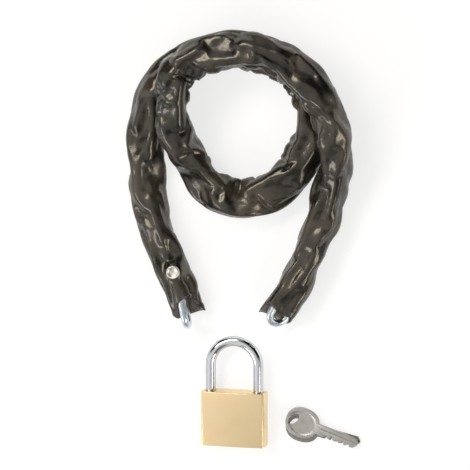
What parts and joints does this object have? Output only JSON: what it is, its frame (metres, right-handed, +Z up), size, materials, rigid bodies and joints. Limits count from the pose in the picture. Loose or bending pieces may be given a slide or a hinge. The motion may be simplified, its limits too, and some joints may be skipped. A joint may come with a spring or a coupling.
{
  "type": "sleeved chain lock",
  "caption": "Sleeved steel security chain coiled flat, with a brass padlock, its keys, and working shackle, key plug and bolt.",
  "frame": {"origin": "middle of the table area that the set covers, on the table's surface", "axes": "+Z up from the table, +Y towards the chain's loop and the padlock's shackle, +X towards the keys"},
  "size_m": [0.1874, 0.3314, 0.0507],
  "materials": {
    "smoky_vinyl": "glossy, smoky, slightly see-through",
    "zinc_plate": "bright zinc plate",
    "pale_nickel": "satin",
    "brass": "satin",
    "chrome": "polished",
    "steel": "machined",
    "spring_steel": "drawn wire",
    "satin_nickel": "satin"
  },
  "bodies": {
    "chain": {"sleeve_loop": "smoky_vinyl", "chain_link_04": "zinc_plate", "chain_link_05": "zinc_plate", "chain_link_06": "zinc_plate", "chain_link_07": "zinc_plate", "chain_link_08": "zinc_plate", "chain_link_09": "zinc_plate", "chain_link_10": "zinc_plate", "chain_link_11": "zinc_plate", "chain_link_12": "zinc_plate", "chain_link_13": "zinc_plate", "chain_link_14": "zinc_plate", "chain_link_15": "zinc_plate", "chain_link_16": "zinc_plate", "chain_link_17": "zinc_plate", "chain_link_18": "zinc_plate", "chain_link_19": "zinc_plate", "chain_link_20": "zinc_plate", "chain_link_21": "zinc_plate", "chain_link_22": "zinc_plate", "chain_link_23": "zinc_plate", "chain_link_24": "zinc_plate"},
    "left_tail": {"sleeve_left_tail": "smoky_vinyl", "chain_link_02": "zinc_plate", "chain_link_03": "zinc_plate", "rivet": "pale_nickel", "rivet_washer": "pale_nickel"},
    "left_end_link": {"chain_link_01": "zinc_plate"},
    "right_tail": {"sleeve_right_tail": "smoky_vinyl", "chain_link_25": "zinc_plate", "chain_link_26": "zinc_plate"},
    "right_end_link": {"chain_link_27": "zinc_plate"},
    "padlock": {"padlock_body": "brass", "heel_retaining_pin": "steel", "plug_retaining_pin": "steel", "pin_chamber_cover": "brass", "shackle_spring": "spring_steel", "bolt_spring": "spring_steel", "driver_spring_1": "spring_steel", "driver_spring_2": "spring_steel", "driver_spring_3": "spring_steel", "driver_spring_4": "spring_steel", "driver_spring_5": "spring_steel"},
    "shackle": {"shackle": "chrome"},
    "plug": {"cylinder_plug": "brass", "plug_cam": "steel", "key_pin_1": "brass", "key_pin_2": "brass", "key_pin_3": "brass", "key_pin_4": "brass", "key_pin_5": "brass"},
    "bolt": {"locking_bolt": "steel"},
    "lower_key": {"lower_key": "satin_nickel"},
    "upper_key": {"upper_key": "satin_nickel"},
    "driver_1": {"driver_pin_1": "brass"},
    "driver_2": {"driver_pin_2": "brass"},
    "driver_3": {"driver_pin_3": "brass"},
    "driver_4": {"driver_pin_4": "brass"},
    "driver_5": {"driver_pin_5": "brass"}
  },
  "joints": [
    {"name": "left_tail_swing", "type": "hinge", "parent": "chain", "child": "left_tail", "pos_m": [-0.07583, 0.02687, 0.01256], "axis": [0, 0, 1], "range_deg": [-15, 15]},
    {"name": "left_end_link_swing", "type": "hinge", "parent": "left_tail", "child": "left_end_link", "pos_m": [-0.0525, -0.0353, 0.013], "axis": [0, 0, 1], "range_deg": [0, 15]},
    {"name": "right_tail_swing", "type": "hinge", "parent": "chain", "child": "right_tail", "pos_m": [0.0647, 0.0288, 0.01237], "axis": [0, 0, 1], "range_deg": [-15, 15]},
    {"name": "right_end_link_swing", "type": "hinge", "parent": "right_tail", "child": "right_end_link", "pos_m": [0.04158, -0.03364, 0.0125], "axis": [0, 0, 1], "range_deg": [-7, 1]},
    {"name": "padlock_lift", "type": "slide", "parent": "chain", "child": "padlock", "axis": [0, 0, 1], "range_m": [0, 0.12]},
    {"name": "shackle_lift", "type": "slide", "parent": "padlock", "child": "shackle", "axis": [0, 1, 0], "range_m": [0, 0.011], "deforming": ["shackle_spring"]},
    {"name": "plug_turn", "type": "hinge", "parent": "padlock", "child": "plug", "pos_m": [-0.0085, -0.1648, 0.0086], "axis": [0, 1, 0], "range_deg": [0, 91]},
    {"name": "bolt_retract", "type": "slide", "parent": "padlock", "child": "bolt", "axis": [1, 0, 0], "range_m": [0, 0.0056], "deforming": ["bolt_spring"]},
    {"name": "lower_key_lift", "type": "slide", "parent": "chain", "child": "lower_key", "axis": [0, 0, 1], "range_m": [0, 0.1]},
    {"name": "upper_key_lift", "type": "slide", "parent": "lower_key", "child": "upper_key", "axis": [0, 0, 1], "range_m": [0, 0.05]},
    {"name": "driver_1_slide", "type": "slide", "parent": "padlock", "child": "driver_1", "axis": [-1, 0, 0], "range_m": [0, 0.002], "stiffness_N_per_m": 20, "springref_m": -0.004, "deforming": ["driver_spring_1"]},
    {"name": "driver_2_slide", "type": "slide", "parent": "padlock", "child": "driver_2", "axis": [-1, 0, 0], "range_m": [0, 0.002], "stiffness_N_per_m": 20, "springref_m": -0.004, "deforming": ["driver_spring_2"]},
    {"name": "driver_3_slide", "type": "slide", "parent": "padlock", "child": "driver_3", "axis": [-1, 0, 0], "range_m": [0, 0.002], "stiffness_N_per_m": 20, "springref_m": -0.004, "deforming": ["driver_spring_3"]},
    {"name": "driver_4_slide", "type": "slide", "parent": "padlock", "child": "driver_4", "axis": [-1, 0, 0], "range_m": [0, 0.002], "stiffness_N_per_m": 20, "springref_m": -0.004, "deforming": ["driver_spring_4"]},
    {"name": "driver_5_slide", "type": "slide", "parent": "padlock", "child": "driver_5", "axis": [-1, 0, 0], "range_m": [0, 0.002], "stiffness_N_per_m": 20, "springref_m": -0.004, "deforming": ["driver_spring_5"]}
  ],
  "couplings": [
    {"joint": "plug_turn", "follows": "shackle_lift", "rad_per_m": 142.79},
    {"joint": "bolt_retract", "follows": "shackle_lift", "ratio": 0.5}
  ]
}
